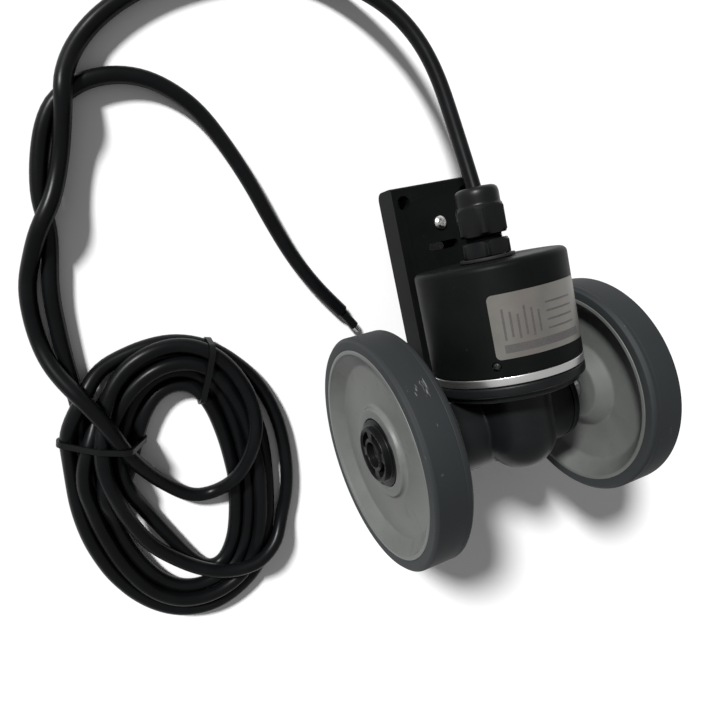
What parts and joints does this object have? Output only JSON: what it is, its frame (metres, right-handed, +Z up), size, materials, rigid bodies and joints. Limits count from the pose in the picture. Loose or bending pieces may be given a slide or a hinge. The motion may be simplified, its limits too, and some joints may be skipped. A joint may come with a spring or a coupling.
{
  "type": "wheel encoder",
  "caption": "Rotary encoder turned through helical gears by an axle with a rubber-tyred wheel at each end, on a bolt-on bracket, with a coiled signal cable.",
  "frame": {"origin": "on the surface that the encoder lies on, under the middle of its bounding box without the cable", "axes": "+X along the axle, +Y towards the cable gland's end, +Z up from the surface"},
  "size_m": [0.1894, 0.2176, 0.0796],
  "materials": {
    "tyre_rubber": "matte slate grey rubber",
    "seal_rubber": "matte black rubber",
    "grey_rim": "moulded light grey",
    "black_plastic": "satin black",
    "black_nylon": "satin black nylon",
    "cable_sheath": "satin black sheath",
    "turned_aluminium": "turned",
    "silver_foil": "satin foil",
    "steel": "ground",
    "plated_steel": "plated",
    "blackened_steel": "blackened",
    "brass": "cut",
    "green_board": "solder mask",
    "etched_disc": "etched"
  },
  "bodies": {
    "encoder_frame": {"board_post_1": "steel", "board_post_2": "steel", "bracket_fixing_1": "blackened_steel", "bracket_fixing_2": "blackened_steel", "bracket_fixing_3": "blackened_steel", "bracket_fixing_4": "blackened_steel", "bracket_screw": "plated_steel", "cable_coil": "cable_sheath", "cable_end_sleeve": "black_nylon", "cable_run": "cable_sheath", "cable_tail": "cable_sheath", "cap_screw_1": "blackened_steel", "cap_screw_2": "blackened_steel", "circuit_board": "green_board", "encoder_base": "turned_aluminium", "encoder_cap": "black_plastic", "flange_screw_1": "blackened_steel", "flange_screw_2": "blackened_steel", "gearbox_housing": "black_plastic", "gland_body": "black_nylon", "gland_nut": "black_nylon", "gland_seal": "seal_rubber", "gland_washer": "seal_rubber", "label_plate": "silver_foil", "left_axle_seal": "seal_rubber", "left_bearing_outer_race": "steel", "left_cover_screw_1": "blackened_steel", "left_cover_screw_2": "blackened_steel", "left_end_cover": "black_plastic", "light_sensor": "black_plastic", "mounting_bracket": "black_plastic", "right_axle_seal": "seal_rubber", "right_bearing_outer_race": "steel", "right_cover_screw_1": "blackened_steel", "right_cover_screw_2": "blackened_steel", "right_end_cover": "black_plastic", "shaft_lower_outer_race": "steel", "shaft_upper_outer_race": "steel", "tie_left": "black_nylon", "tie_right": "black_nylon"},
    "axle_set": {"axle": "steel", "drive_gear": "brass", "left_tyre": "tyre_rubber", "left_rim": "grey_rim", "left_hub_insert": "black_plastic", "left_axle_screw": "blackened_steel", "left_spacer": "steel", "left_bearing_inner_race": "steel", "right_tyre": "tyre_rubber", "right_rim": "grey_rim", "right_hub_insert": "black_plastic", "right_axle_screw": "blackened_steel", "right_spacer": "steel", "right_bearing_inner_race": "steel"},
    "encoder_rotor": {"encoder_shaft": "steel", "driven_gear": "brass", "disc_hub": "turned_aluminium", "code_disc": "etched_disc", "shaft_lower_inner_race": "steel", "shaft_upper_inner_race": "steel"}
  },
  "joints": [
    {"name": "axle_spin", "type": "hinge", "parent": "encoder_frame", "child": "axle_set", "pos_m": [0, -0.02118, 0.0398], "axis": [1, 0, 0], "continuous": true},
    {"name": "shaft_spin", "type": "hinge", "parent": "encoder_frame", "child": "encoder_rotor", "pos_m": [0, 0.0015, 0.04906], "axis": [0, 0.9741, -0.2259], "continuous": true}
  ],
  "couplings": [
    {"joint": "shaft_spin", "follows": "axle_spin", "ratio": -1}
  ]
}
